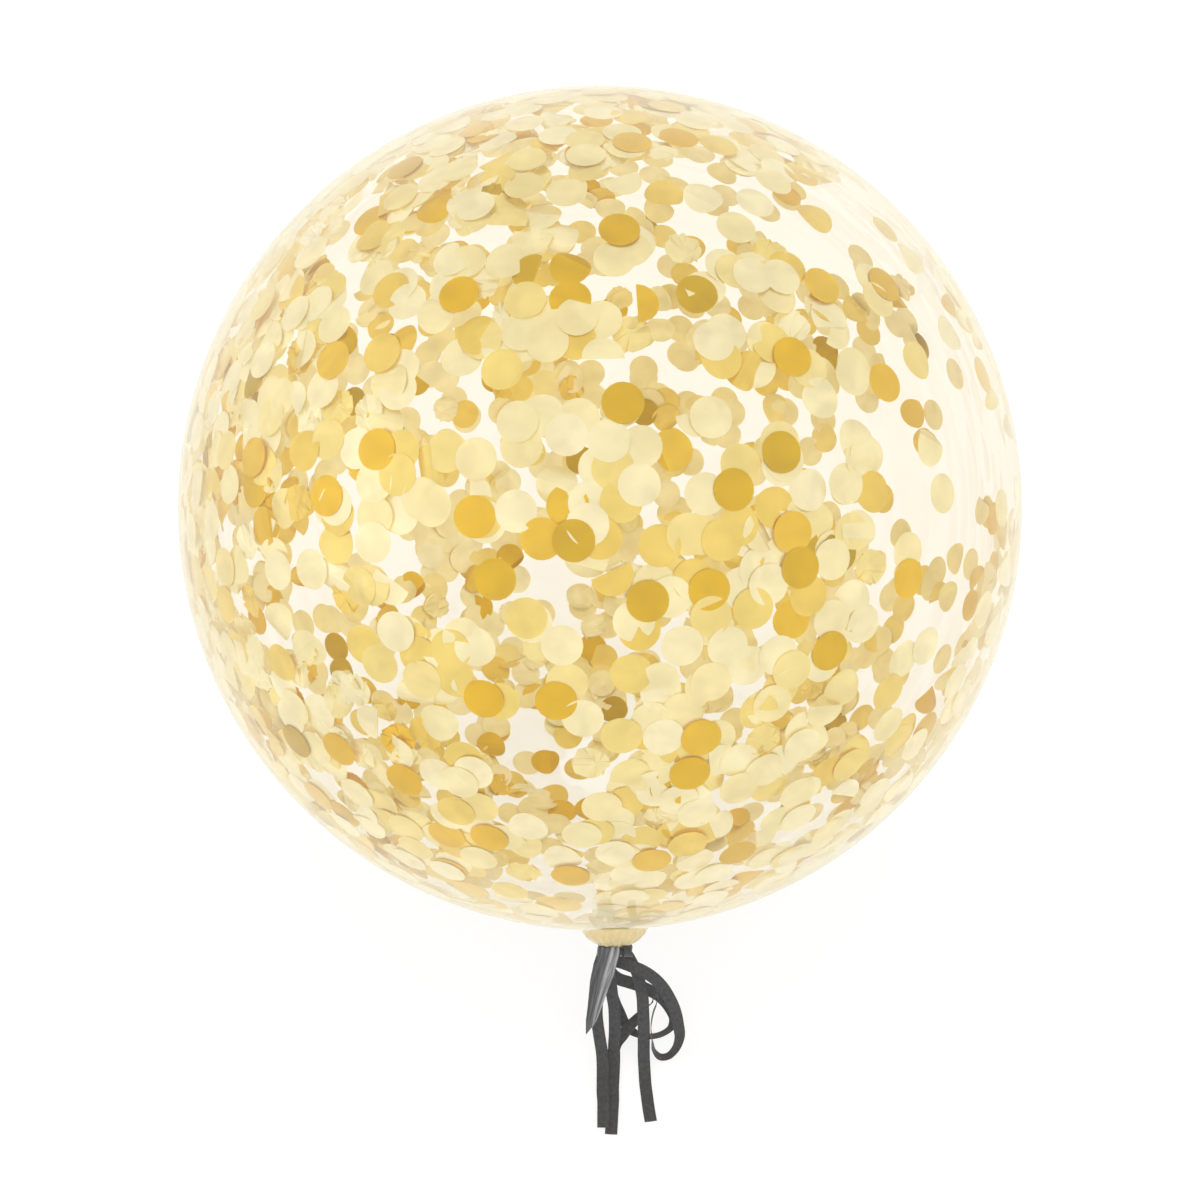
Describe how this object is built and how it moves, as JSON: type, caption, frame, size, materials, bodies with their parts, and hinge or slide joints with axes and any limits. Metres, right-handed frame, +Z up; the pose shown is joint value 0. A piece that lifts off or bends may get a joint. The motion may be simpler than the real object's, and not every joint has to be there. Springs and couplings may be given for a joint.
{
  "type": "confetti bubble balloon",
  "caption": "Clear round bubble balloon lying on a small flat spot, with a gathered tied neck and grey ribbons that loop and trail on the floor.",
  "frame": {"origin": "centre of the flat spot that the balloon rests on, on the floor", "axes": "+Z up, -Y the way the tied neck points over the floor, +X to the right of someone facing the neck's side from above it"},
  "size_m": [0.5999, 0.6395, 0.5977],
  "materials": {
    "film": "clear glossy film with a faint warm tint",
    "confetti": "gold foil, satin to bright",
    "film_tail": "smoky glossy creased film",
    "ribbon": "dark grey ribbed ribbon"
  },
  "bodies": {
    "root": {"balloon": "film", "tie": "ribbon", "ribbon_left_tail": "ribbon", "ribbon_middle_tail": "ribbon", "ribbon_right_tail": "ribbon", "ribbon_outer_loop": "ribbon", "ribbon_outer_end": "ribbon", "ribbon_inner_loop": "ribbon"}
  },
  "joints": []
}
